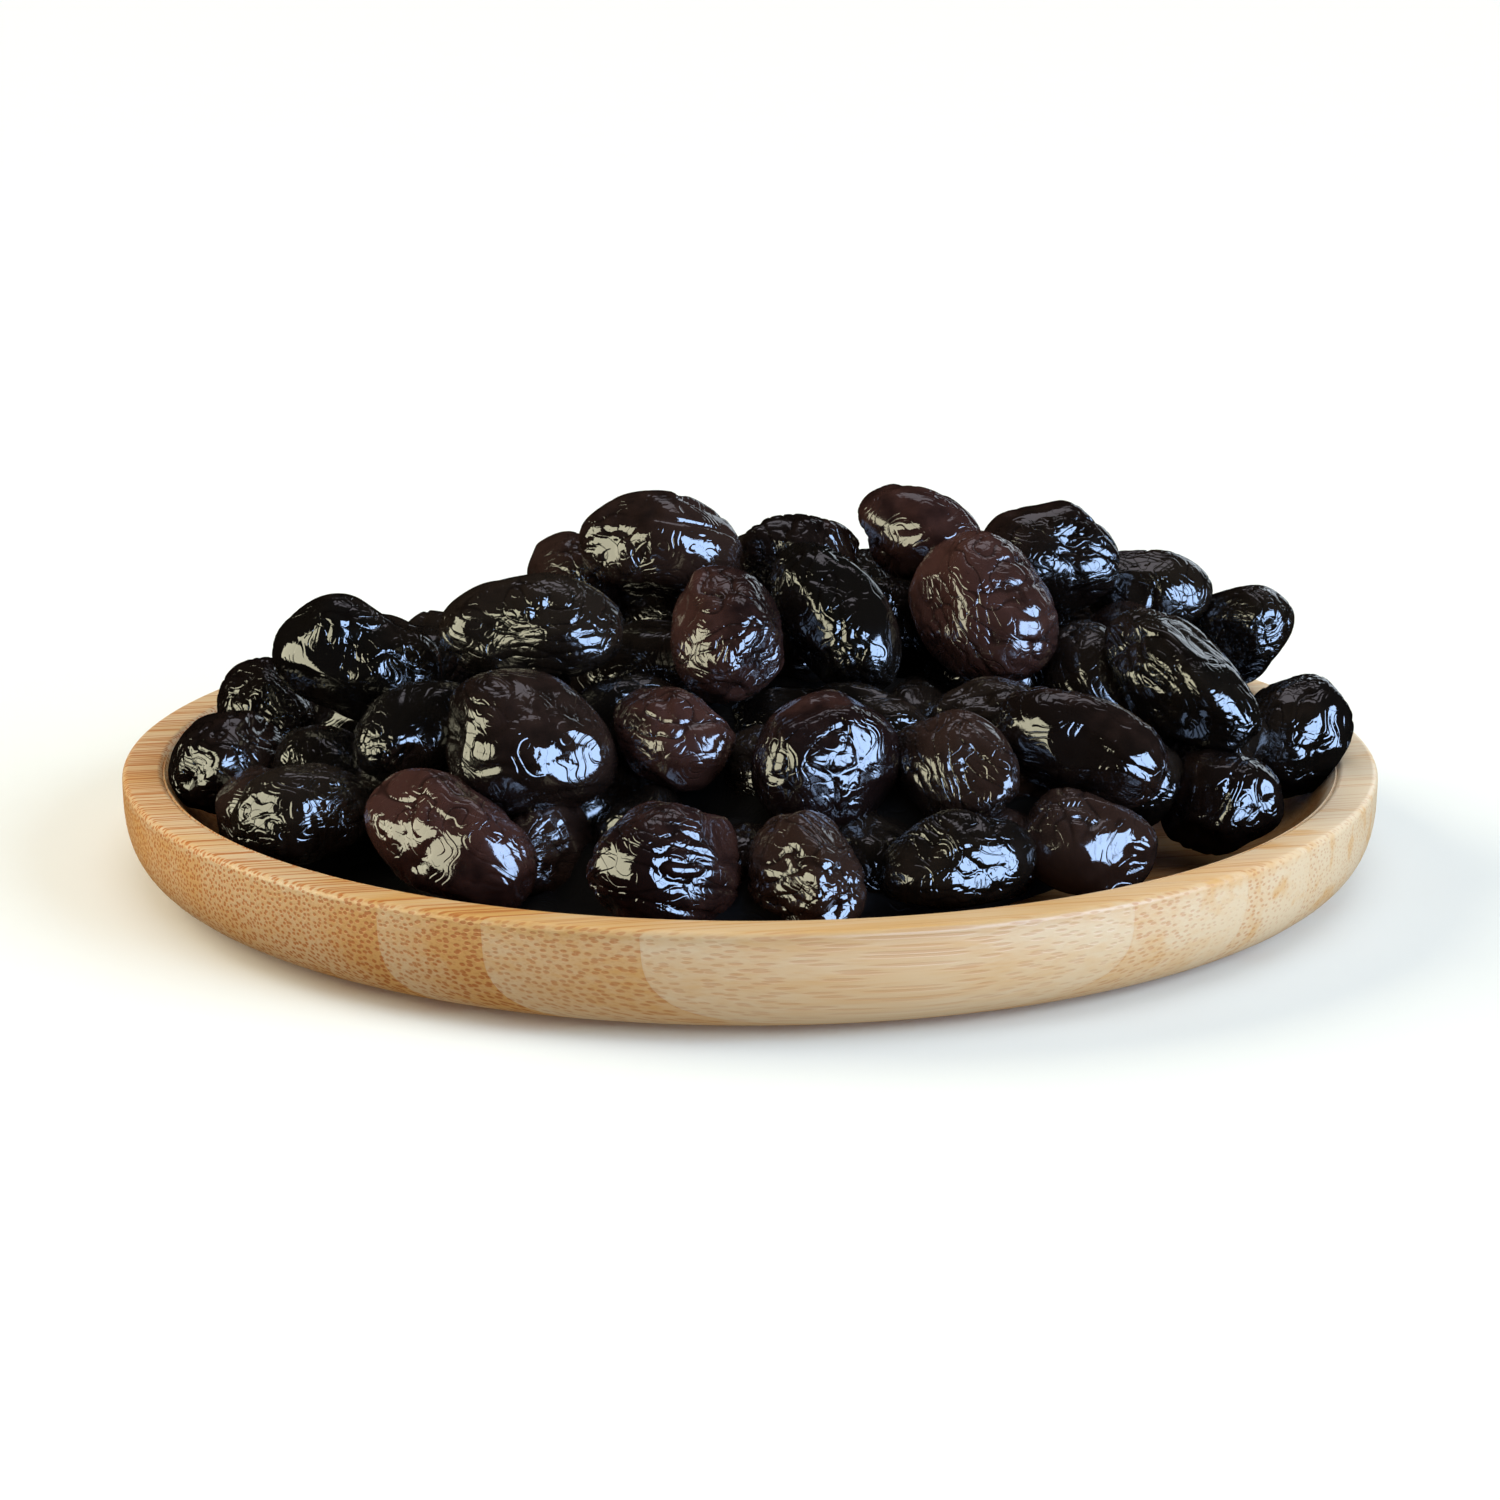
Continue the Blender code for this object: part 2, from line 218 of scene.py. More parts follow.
@dataclass(frozen=True)
class Bamboo:
    """Laminated bamboo: upright boards whose fibre bundles run one way and crowd to one face.

    Places are in millimetres: along the fibres, across the boards and up. A pattern's rates say how
    fast it varies on these three ways. A band says where a mask starts and where it is full.
    """

    # Boards, and the bundles of fibres in them
    fibre_turn: float = 11.75
    first_glue_line: float = 84.5
    board: float = 9.1
    bend: float = 0.8
    face: Band = (-0.2, 1.05)
    face_crowd: float = 0.65
    board_crowd: float = 0.4
    even_crowd: float = 0.48
    evening: float = 0.9
    # Bundles thin out towards the right; the same slope is painted light, the right side paler where
    # the side light falls and the left darker
    crowd_and_painted_light_per_mm: float = 0.0045
    bundle: float = 0.69
    fine: float = 0.6
    fine_shift: float = 31.0
    dot_radius: float = 0.2
    dot_growth: float = 0.12
    dot_edge: Band = (-0.1, 0.08)
    dot_scatter: float = 0.85
    glue_line: Band = (0.485, 0.5)

    # Colours
    pale: Vector3 = (0.77, 0.625, 0.46)
    dense: Vector3 = (0.69, 0.39, 0.135)
    bundles: Vector3 = (0.48, 0.15, 0.020)
    # Painted shade: multiplied into the rim, except on its right and less at its left tip
    rim_shade: Vector3 = (0.85, 0.87, 0.86)
    # Painted shade: multiplied into the dish's well, where the olives and the rim shade it
    oil: Vector3 = (0.44, 0.29, 0.16)

    # Patterns
    cloud: Vector3 = (0.02, 0.05, 0.05)
    sway: Vector3 = (0.05, 0.1, 0.1)
    streak: Vector3 = (0.03, 1.3, 1.3)
    patch: Vector3 = (0.04, 0.1, 0.2)
    stain: Vector3 = (0.10, 0.28, 0.16)
    rings: float = 2.6

    # Where the dish differs from place to place
    ends: Band = (54.0, 71.0)
    # Where the rim's painted light on the right comes in
    right: Band = (10.0, 55.0)
    # Where the rim's painted shade thins out at the left tip
    left_tip: Band = (-68.0, -84.0)
    cane_from: Band = (-73.0, -62.0)
    cane_to: Band = (-34.0, -46.0)
    stained: Band = (20.0, 55.0)
    stain_edge: Band = (0.03, 0.16)
    end_grain: Band = (-10.0, 75.0)
    rim: Band = (12.6, 14.6)
    # Where the well's painted shade falls
    well: Band = (84.6, 81.6)
    well_depth: Band = (14.6, 12.0)

    # How strongly each of these darkens or marks the wood, or paints light or shade on it
    crowd_depth: float = 0.9
    crowd_depth_off_rim: float = 0.5
    rim_depth: float = 0.52
    rim_depth_off_ends: float = 0.42
    # Painted light: the rim is paler towards the right
    rim_painted_light_right: float = 0.12
    cane_crowd: float = 0.18
    cane_depth: float = 0.12
    blotch: float = 0.55
    streak_depth: float = 0.8
    streak_on_rim: float = 0.5
    patch_depth: float = 0.9
    least_marks: float = 0.25
    dot_marks: float = 0.8
    base_marks: float = 0.18
    fine_marks: float = 0.3
    glue: float = 0.08
    # How much less painted shade the rim's left tip takes
    tip_unshaded: float = 0.6

    # Gloss, and relief in millimetres
    roughness: float = 0.42
    dot_roughness: float = 0.12
    streak_roughness: float = 0.15
    ring_relief: float = 0.006
    grain_relief: float = 0.02

    def material(self) -> NodeFinish:
        """Build the finish.

        Returns:
            The material, patterned through the solid in the piece's own coordinates.
        """
        finish = NodeFinish("bamboo")
        place = finish.value("ShaderNodeTexCoord", None, None, "Object")
        x, y, z = (part * (1 / MM) for part in finish.parts(place))
        turn = math.radians(self.fibre_turn)
        along = x * math.cos(turn) + y * math.sin(turn)
        front = x * math.sin(turn) - y * math.cos(turn)
        ways = (along, front, z)
        cloud = self.pattern(finish, ways, self.cloud)
        sway = self.pattern(finish, ways, self.sway, detail=0.0)
        streak = self.pattern(finish, ways, self.streak, detail=3.0)
        patch = self.pattern(finish, ways, self.patch)
        stain = self.pattern(finish, ways, self.stain).between(*self.stain_edge)

        ends = abs(along).between(*self.ends)
        right = along.between(*self.right)
        old_cane = along.between(*self.cane_to) * along.between(*self.cane_from)
        rim = z.between(*self.rim)
        out = (x * x + y * y) ** 0.5
        inside = out.between(*self.well) * z.between(*self.well_depth)

        board = (front + cloud * self.bend - self.first_glue_line) / self.board
        share = board.math("FRACT")
        tone = finish.value("ShaderNodeTexWhiteNoise", {"noise_dimensions": "1D"},
                            {"W": board.math("FLOOR")})
        boards = share.between(*self.face) * self.face_crowd + tone * self.board_crowd
        evened = boards + (self.even_crowd - boards) * ends * self.evening
        # Fewer bundles towards the right, and painted light: the wood paler on the right and darker
        # on the left
        crowd = evened - along * self.crowd_and_painted_light_per_mm + old_cane * self.cane_crowd
        dots = self.dots(finish, front + sway, z + sway, crowd, self.bundle)
        fine = self.dots(finish, front + sway + self.fine_shift, z - sway, crowd * self.fine,
                         self.bundle * self.fine)

        # Painted light: the rim loses depth towards the right
        rim_depth = rim * (self.rim_depth - ends * self.rim_depth_off_ends
                           - right * self.rim_painted_light_right)
        crowd_depth = crowd * abs(crowd) * (self.crowd_depth - rim * self.crowd_depth_off_rim)
        depth = crowd_depth + rim_depth + old_cane * self.cane_depth
        blotch = stain * along.between(*self.stained) * self.blotch
        grain = (streak * (self.streak_depth + rim * self.streak_on_rim * ends)
                 + patch * self.patch_depth)
        ground = finish.mix(depth + blotch + grain, self.pale, self.dense)
        cut = abs(along).between(*self.end_grain) * (1 - self.least_marks) + self.least_marks
        marks = (dots * (crowd * self.dot_marks + self.base_marks)
                 + fine * crowd * self.fine_marks) * cut
        marked = finish.mix(marks, ground, self.bundles)
        glue = abs(share - 0.5).between(*self.glue_line)
        boards_met = finish.mix(glue * self.glue, marked, self.bundles)
        # Painted shade: the rim is darkened, except on its right and less at its left tip
        tip = along.between(*self.left_tip) * self.tip_unshaded
        rim_shade_share = rim * (1.0 - right) * (1.0 - tip)
        rim_shaded = finish.mix(rim_shade_share, boards_met, self.rim_shade, "MULTIPLY")
        # Painted shade: the well inside the rim is darkened, as the olives and the rim shade it
        well_shaded = finish.mix(inside, rim_shaded, self.oil, "MULTIPLY")
        finish.feed(finish.shader.inputs["Base Color"], well_shaded)

        gloss = dots * self.dot_roughness + streak * self.streak_roughness + self.roughness
        finish.feed(finish.shader.inputs["Roughness"], gloss)
        rings = finish.noise(finish.vector(out, 0.0, z), self.rings)
        relief = rings * self.ring_relief + streak * self.grain_relief - dots * self.grain_relief
        finish.bump(relief * MM)
        return finish

    @staticmethod
    def pattern(finish: NodeFinish, ways: tuple[Value, Value, Value], rates: Vector3,
                detail: float = 2.0) -> Value:
        """Soft noise that runs with the fibres.

        Args:
            finish: The material it is for.
            ways: Along the fibres, across the boards and up, in millimetres.
            rates: How fast it varies on each of these.
            detail: How much finer noise is laid over it.

        Returns:
            Values round 0.
        """
        stretched = finish.vector(*(way * rate for way, rate in zip(ways, rates)))
        return finish.noise(stretched, 1.0, detail) - 0.5

    def dots(self, finish: NodeFinish, front: Value, z: Value, crowd: Value, size: float) -> Value:
        """Fibre bundles cut by the surface: dots on end grain and long dashes along it.

        Args:
            finish: The material they are for.
            front: Way across the boards, in millimetres.
            z: Height.
            crowd: How dense the bundles are.
            size: Space between bundles in millimetres.

        Returns:
            1 on a bundle and 0 between.
        """
        inputs = {"Vector": finish.vector(front, z, 0.0), "Scale": 1 / size,
                  "Randomness": self.dot_scatter}
        near = finish.value("ShaderNodeTexVoronoi", {"voronoi_dimensions": "2D"}, inputs)
        radius = crowd * self.dot_growth + self.dot_radius
        return (radius - near).between(*self.dot_edge)


class Tone(Enum):
    """The colours that the olives come in: deep skin, warm skin, and how much of the warm shows."""

    JET = ((0.0054, 0.0046, 0.0044), (0.0160, 0.0118, 0.0102), 0.5)
    UMBER = ((0.0072, 0.0050, 0.0048), (0.0280, 0.0165, 0.0150), 0.7)
    RUSSET = ((0.0100, 0.0056, 0.0062), (0.0520, 0.0245, 0.0230), 0.55)


@dataclass(frozen=True)
class OliveSkin:
    """Oiled olive skin: near black, warmer in patches, with fine creases between its folds.

    Scales are patterns per millimetre, and the four reliefs are in millimetres.
    """

    tone: Tone
    name: str = "olive"
    roughness: float = 0.045
    gloss: float = 1.0
    crease: float = 0.04
    fine_crease: float = 0.022
    swirl: float = 0.05
    leather: float = 0.018
    valley_edge: float = 0.35
    fine_edge: float = 0.3
    fine_everywhere: float = 0.2
    swirl_scale: float = 0.16
    swirl_rings: float = 13.0
    swirl_line: Band = (0.26, 0.5)
    swirled_scale: float = 0.25
    swirled: Band = (0.38, 0.56)
    patch_scale: float = 0.35
    leather_scale: float = 1.6
    warmth_share: float = 0.9
    patch_share: float = 1.2
    tone_share: float = 0.5
    warm_from: float = 0.95
    valley_shade: float = 0.6
    shade: Vector3 = (0.003, 0.002, 0.002)
    dry: Band = (0.3, 0.9)
    dry_roughness: float = 0.09

    def material(self) -> NodeFinish:
        """Build the finish.

        Returns:
            The material, patterned on the attributes that the olives carry.
        """
        finish = NodeFinish(f"{self.name}_{self.tone.name.lower()}")
        deep, warm, share = self.tone.value
        first, mask, second = finish.parts(finish.attribute("fold"))
        warmth, oil, _ = finish.parts(finish.attribute("bloom"))
        skin = finish.attribute("skin")
        valley = abs(first).between(self.valley_edge, 0.0) * mask
        fine_shown = mask * (1 - self.fine_everywhere) + self.fine_everywhere
        fine = abs(second).between(self.fine_edge, 0.0) * fine_shown
        contour = (finish.noise(skin, self.swirl_scale, detail=1.0) * self.swirl_rings).math("FRACT")
        swirled = finish.noise(skin, self.swirled_scale, detail=1.0).between(*self.swirled)
        swirls = abs(contour - 0.5).between(*self.swirl_line) * swirled
        patch = finish.noise(skin, self.patch_scale, detail=3.0)
        leather = finish.noise(skin, self.leather_scale, detail=3.0)
        flush = (warmth * self.warmth_share + patch * self.patch_share - self.warm_from
                 + share * self.tone_share)
        colour = finish.mix(flush.between(0.0, 1.0), deep, warm)
        shaded = finish.mix(valley * self.valley_shade, colour, self.shade)
        finish.feed(finish.shader.inputs["Base Color"], shaded)
        dried = (patch - oil).between(*self.dry) * self.dry_roughness
        finish.feed(finish.shader.inputs["Roughness"], dried + self.roughness)
        finish.shader.inputs["Specular IOR Level"].default_value = self.gloss
        height = (leather * self.leather - valley * self.crease - fine * self.fine_crease
                  - swirls * self.swirl)
        finish.bump(height * MM)
        return finish


@dataclass(frozen=True)
class Dish:
    """The dish, turned from a bamboo board, in millimetres."""

    radius: float = 90.0
    height: float = 15.0
    foot: float = 71.0
    rim: float = 5.7
    edge: float = 0.9
    floor: float = 6.0
    floor_radius: float = 72.0
    wall_power: float = 2.2
    drop_power: float = 3.3
    round_power: float = 3.5
    lean: float = 0.6
    sectors: int = 240
    side_steps: int = 18
    side_crowding: float = 1.9
    wall_steps: int = 14
    wall_gap: float = 0.2
    edge_step: int = 15
    inner_edge_end: int = 165
    merge: float = 0.00001
    sharp_from: float = math.radians(40)

    @property
    def inside(self) -> float:
        """The rim's inner radius."""
        return self.radius - self.rim

    def room(self, height: np.ndarray, clear: float) -> np.ndarray:
        """How far out food may reach.

        Args:
            height: Heights of its points.
            clear: Space to keep to the dish.

        Returns:
            The largest distance from the dish's middle at each height.
        """
        rise = np.clip((height - self.floor) / (self.height - self.floor), 0.0, 1.0)
        spread = (self.inside - self.floor_radius) * rise ** (1 / self.wall_power)
        above = np.maximum(0.0, height - self.height)
        return self.floor_radius + spread - clear + self.lean * above

    def settle(self, points: np.ndarray, clear: float = 0.15) -> np.ndarray:
        """Flatten points of food against the dish, where they would cross it.

        Args:
            points: The food's points.
            clear: Space to keep to the dish.

        Returns:
            The points, moved in or up.
        """
        points = np.array(points)
        points[:, 2] = np.maximum(points[:, 2], self.floor + clear)
        away = np.maximum(np.hypot(points[:, 0], points[:, 1]), 1e-6)
        points[:, :2] *= np.minimum(1.0, self.room(points[:, 2], clear) / away)[:, None]
        return points

    def profile(self) -> list[tuple[float, float]]:
        """Half the dish's section.

        Returns:
            Distances from the middle and heights, from the middle of the foot round to the middle of
            the floor.
        """
        side = []
        for step in range(1, self.side_steps):
            drop = 1.0 - (step / self.side_steps) ** self.side_crowding
            spread = (1 - drop ** self.drop_power) ** (1 / self.round_power)
            out = self.foot + (self.radius - self.foot) * spread
            side.append((out, (1 - drop) * (self.height - self.edge)))
        rim = []
        outer = (self.radius - self.edge, 0, 90)
        inner = (self.inside + self.edge, 90, self.inner_edge_end)
        for middle, first, last in (outer, inner):
            for turn in range(first, last + 1, self.edge_step):
                angle = math.radians(turn)
                rise = self.height - self.edge * (1 - math.sin(angle))
                rim.append((middle + self.edge * math.cos(angle), rise))
        wall = []
        for radius in np.linspace(self.inside - self.wall_gap, self.floor_radius, self.wall_steps):
            out = (radius - self.floor_radius) / (self.inside - self.floor_radius)
            height = self.floor + (self.height - self.floor) * out ** self.wall_power
            wall.append((float(radius), height))
        foot = [(0.0, 0.0), (self.foot - 1, 0.0), (self.foot, 0.0)]
        return foot + side + rim + wall + [(0.0, self.floor)]

    def build(self) -> bpy.types.Object:
        """Turn the section into the dish.

        Returns:
            The dish.
        """
        bpy.ops.mesh.primitive_plane_add(size=2 * MM, location=(0, 0, 0))
        dish = bpy.context.object
        dish.name = dish.data.name = "bamboo_dish"
        bpy.ops.object.mode_set(mode="EDIT")
        bpy.ops.mesh.select_all(action="SELECT")
        bpy.ops.mesh.merge(type="CENTER")
        profile = self.profile()
        for (out, up), (next_out, next_up) in zip(profile, profile[1:]):
            step = ((next_out - out) * MM, 0.0, (next_up - up) * MM)
            bpy.ops.mesh.extrude_region_move(TRANSFORM_OT_translate={"value": step})
        bpy.ops.mesh.select_all(action="SELECT")
        bpy.ops.mesh.spin(steps=self.sectors, angle=math.tau, center=(0, 0, 0),
                          axis=(0, 0, 1))
        bpy.ops.mesh.select_all(action="SELECT")
        bpy.ops.mesh.remove_doubles(threshold=self.merge)
        bpy.ops.mesh.normals_make_consistent(inside=False)
        bpy.ops.object.mode_set(mode="OBJECT")
        bpy.ops.object.shade_smooth_by_angle(angle=self.sharp_from)
        return dish


class Skin(Enum):
    """How a skin has shrunk: its share in folds, their spacing and depth, and how they scatter."""

    SMOOTH = (0.32, 2.8, 0.28, 0.60)
    HALF = (0.45, 2.6, 0.38, 0.45)
    FOLDED = (0.72, 2.4, 0.40, 0.35)
    CREASED = (0.60, 2.0, 0.32, 0.90)
    RIBBED = (0.65, 2.7, 0.42, 0.30)


@dataclass(frozen=True)
class Olive:
    """One olive: its middle, length, girth, heading and rise, in millimetres and degrees.

    The fields below its tone are the same for every olive. A pair of numbers is a range to draw from.
    """

    x: float
    y: float
    z: float
    length: float
    girth: float
    heading: float
    rise: float
    seed: int
    skin: Skin
    tone: Tone
    swell: float = 1.07

    # Its plump form: dents, three flats and softer facets pressed into an egg, as shares of it
    taper: float = 0.09
    dents: int = 5
    dent_depth: Band = (0.02, 0.09)
    dent_width: Band = (0.05, 0.16)
    flats: int = 3
    flat_reach: Band = (0.88, 0.95)
    flat_squash: Vector3 = (0.5, 1.0, 1.0)
    facets: int = 5
    facet_reach: Band = (0.86, 0.94)
    facet_sharpness: float = 60.0
    facet_key: int = 20
    least_facing: float = 1e-3

    # The sums of sines that its fields and grains are
    ripples: int = 7
    ripple_rate: Band = (0.6, 1.3)
    ripple_size: float = 2.6
    lines: int = 24
    line_rate: Band = (0.8, 1.2)
    line_squash: Vector3 = (0.4, 1.0, 1.0)
    rib_scatter: float = 2.6
    rib_lean: float = 0.5

    # Fields: how fast they vary, and how far the skin's patterns move from olive to olive
    drift_rate: float = 2.5
    plate_rate: float = 2.2
    cover_rate: float = 2.4
    gather_rate: float = 2.0
    uneven_rate: float = 6.0
    broad_rate: float = 2.0
    warmth_rate: float = 1.6
    oil_rate: float = 2.5
    skin_shift: Vector3 = (13.7, 5.1, 9.3)

    # Its folds, in millimetres and shares
    fold_wander: float = 1.4
    fold_width: float = 0.28
    plate_edge: float = 4.0
    plate_spacing: float = 0.85
    cover_edge: float = 2.5
    cover_from: float = 0.6
    uneven: float = 0.35
    fine_wander: float = 0.4
    fine_spacing: float = 0.5
    fine_scatter: float = 1.2
    fine_width: float = 0.4
    fine_depth: float = 0.15
    fine_smooth: float = 0.05
    fine_folded: float = 0.7
    broad_wander: float = 2.0
    broad_spacing: float = 5.5
    broad_scatter: float = 0.35
    broad_width: float = 0.38
    broad_depth: float = 0.42
    gathers: int = 9
    gather_bend: float = 2.0
    gather_width: float = 0.35
    gather_depth: float = 0.22
    pucker_place: float = 0.12
    pucker_width: float = 0.10
    pit_width: float = 0.012
    stalk_pit: float = 0.9
    tip_pit: float = 0.25
    shrink: float = 0.8

    # Lumps: which field, its size in millimetres and how fast it varies
    lumps: tuple[tuple[int, float, float], ...] = (
        (12, 0.65, 2.8), (13, 0.32, 5.5), (16, 0.11, 9.5))

    def bearings(self) -> np.ndarray:
        """Its own directions as rows: along, level across and upright across."""
        turn, lift = math.radians(self.heading), math.radians(self.rise)
        level = math.cos(lift)
        along = np.array([level * math.cos(turn), level * math.sin(turn), math.sin(lift)])
        across = np.array([-math.sin(turn), math.cos(turn), 0.0])
        return np.stack([along, across, np.cross(along, across)])

    def form(self, directions: np.ndarray) -> np.ndarray:
        """How far its skin lies from its middle.

        Args:
            directions: Unit directions in its own frame.

        Returns:
            Shares of the plain egg.
        """
        rng = np.random.default_rng(self.seed)
        share = 1.0 + rng.uniform(-self.taper, self.taper) * directions[:, 0]
        for _ in range(self.dents):
            dent = rng.normal(size=3)
            dent /= np.linalg.norm(dent)
            depth, width = rng.uniform(*self.dent_depth), rng.uniform(*self.dent_width)
            share = share - depth * np.exp((directions @ dent - 1) / width)
        for _ in range(self.flats):
            flat = rng.normal(size=3) * np.array(self.flat_squash)
            flat /= np.linalg.norm(flat)
            facing = np.maximum(directions @ flat, self.least_facing)
            share = np.minimum(share, rng.uniform(*self.flat_reach) / facing)
        rng = np.random.default_rng([self.seed, self.facet_key])
        for _ in range(self.facets):
            facet = rng.normal(size=3)
            facet /= np.linalg.norm(facet)
            facing = np.maximum(directions @ facet, self.least_facing)
            limit = rng.uniform(*self.facet_reach) / facing
            sharp = self.facet_sharpness
            share = -np.logaddexp(-share * sharp, -limit * sharp) / sharp
        return share

    def waves(self, directions: np.ndarray, key: int, turns: float) -> np.ndarray:
        """A smooth random field over its skin.

        Args:
            directions: Unit directions in its own frame.
            key: Which of its fields.
            turns: How fast the field varies.

        Returns:
            Values mostly between -1 and 1.
        """
        rng = np.random.default_rng([self.seed, key])
        ways = rng.normal(size=(3, self.ripples))
        ways *= turns * rng.uniform(*self.ripple_rate, self.ripples) / np.linalg.norm(ways, axis=0)
        phases = directions @ ways + rng.uniform(0, math.tau, self.ripples)
        return np.sin(phases).sum(axis=1) / self.ripple_size

    def grain(self, points: np.ndarray, key: int, spacing: float, scatter: float) -> np.ndarray:
        """Lines that run side by side, wander and branch, as folds of shrunken skin do.

        Args:
            points: Points of the skin in millimetres.
            key: Which of its grains.
            spacing: Space between lines in millimetres.
            scatter: How far the lines stray from one direction.

        Returns:
            A field that is 0 along the lines and mostly beyond -1 and 1 between them.
        """
        rng = np.random.default_rng([self.seed, key])
        if self.skin is Skin.RIBBED:
            around = np.arctan2(points[:, 2], points[:, 1])
            ribs = math.pi * self.girth / spacing / 2
            counts = np.rint(rng.normal(ribs, self.rib_scatter, self.lines))
            leans = rng.normal(0, self.rib_lean, self.lines)
            phases = around[:, None] * counts + points[:, :1] * leans
        else:
            way = rng.normal(size=3) * np.array(self.line_squash)
            strays = scatter * rng.normal(size=(3, self.lines))
            ways = (way / np.linalg.norm(way))[:, None] + strays
            rates = math.pi / spacing * rng.uniform(*self.line_rate, self.lines)
            phases = points @ (ways * (rates / np.linalg.norm(ways, axis=0)))
        shifts = rng.uniform(0, math.tau, self.lines)
        return np.sin(phases + shifts).sum(axis=1) / math.sqrt(self.lines / 2)

    @staticmethod
    def line(field: np.ndarray, width: float) -> np.ndarray:
        """1 where a field is 0, fading to both sides."""
        return np.exp(-(field / width) ** 2)

    def folds(self, directions: np.ndarray, points: np.ndarray) -> dict[str, np.ndarray]:
        """The wrinkles of its skin.

        Args:
            directions: Unit directions in its own frame.
            points: The points of its plump skin in those directions, in millimetres.

        Returns:
            The lines of the folds and of the fine creases, where they show, and how deep they are in
            millimetres.
        """
        cover, spacing, depth, scatter = self.skin.value
        around = np.arctan2(directions[:, 2], directions[:, 1])
        to_end = 1.0 - np.abs(directions[:, 0])
        drift = np.stack([self.waves(directions, key, self.drift_rate) for key in (2, 3, 4)], 1)

        # Folds that run one way on one plate of the skin and another way on the next
        warped = points + self.fold_wander * drift
        plates = self.waves(directions, 5, self.plate_rate) * self.plate_edge + 0.5
        plates = np.clip(plates, 0, 1)
        first = (self.grain(warped, 6, spacing, scatter) * plates
                 + self.grain(warped, 7, spacing * self.plate_spacing, scatter) * (1 - plates))
        shown = self.waves(directions, 9, self.cover_rate) * 0.5 + cover
        mask = np.clip(shown * self.cover_edge - self.cover_from, 0.0, 1.0)
        mask = mask * mask * (3 - 2 * mask)
        uneven = 1 - self.uneven + self.uneven * self.waves(directions, 11, self.uneven_rate)
        valley = self.line(first, self.fold_width) * mask * depth * uneven

        # A few broad folds, and fine creases all over
        broad = self.grain(points + self.broad_wander * drift, 14, self.broad_spacing,
                           self.broad_scatter)
        broad_mask = np.clip(self.waves(directions, 15, self.broad_rate) + 0.5, 0, 1)
        valley = valley + self.broad_depth * self.line(broad, self.broad_width) * broad_mask
        second = self.grain(points + self.fine_wander * drift, 8, spacing * self.fine_spacing,
                            self.fine_scatter)
        fine_mask = self.fine_smooth + self.fine_folded * mask
        valley = valley + self.line(second, self.fine_width) * fine_mask * depth * self.fine_depth

        # Gathers round both ends, the pits there and the lumps of the shrunken flesh
        pucker = self.line(to_end - self.pucker_place, self.pucker_width)
        bent = self.gather_bend * self.waves(directions, 10, self.gather_rate)
        gather = np.sin(self.gathers * around + bent)
        gathered = self.gather_depth * self.line(gather, self.gather_width) * pucker
        pit = np.exp(-(to_end / self.pit_width))
        pit = pit * np.where(directions[:, 0] > 0, self.stalk_pit, self.tip_pit)
        lumps = sum(size * self.waves(directions, key, rate) for key, size, rate in self.lumps)
        depth_mm = valley + gathered + pit + self.shrink - lumps
        return {"first": first, "second": second, "mask": mask, "depth": np.maximum(depth_mm, 0.0)}

    def shape(self, template: bpy.types.Object, directions: np.ndarray,
              dish: Dish) -> bpy.types.Object:
        """Copy the template and wrinkle the copy into this olive.

        Args:
            template: An evenly divided ball.
            directions: The unit directions of its points.
            dish: The dish that the olive settles into.

        Returns:
            The olive, its points in place and carrying what its skin needs.
        """
        half = np.array([self.length, self.girth, self.girth]) / 2 * self.swell
        whole = (self.form(np.eye(3)) + self.form(-np.eye(3))) / 2
        local = directions * half / whole * self.form(directions)[:, None]
        folds = self.folds(directions, local)
        reach = np.linalg.norm(local, axis=1)
        local *= (1 - folds["depth"] / reach)[:, None]
        points = dish.settle(local @ self.bearings() + np.array([self.x, self.y, self.z]))
        mesh = template.data.copy()
        mesh.vertices.foreach_set("co", (points * MM).ravel())
        warmth = 0.5 + 0.5 * self.waves(directions, 7, self.warmth_rate)
        oil = 0.5 * self.waves(directions, 8, self.oil_rate)
        shift = np.array(self.skin_shift) * self.seed
        self.carry(mesh, "fold", np.stack([folds["first"], folds["mask"], folds["second"]], 1))
        self.carry(mesh, "bloom", np.stack([warmth, oil, oil], 1))
        self.carry(mesh, "skin", local + shift)
        olive = bpy.data.objects.new("olive", mesh)
        bpy.context.scene.collection.objects.link(olive)
        return olive

    @staticmethod
    def carry(mesh: bpy.types.Mesh, name: str, values: np.ndarray) -> None:
        """Store a vector on each point of a mesh."""
        mesh.attributes.new(name, "FLOAT_VECTOR", "POINT").data.foreach_set("vector", values.ravel())


JET, UMBER, RUSSET = Tone.JET, Tone.UMBER, Tone.RUSSET
SMOOTH, HALF, FOLDED, CREASED, RIBBED = Skin.SMOOTH, Skin.HALF, Skin.FOLDED, Skin.CREASED, Skin.RIBBED
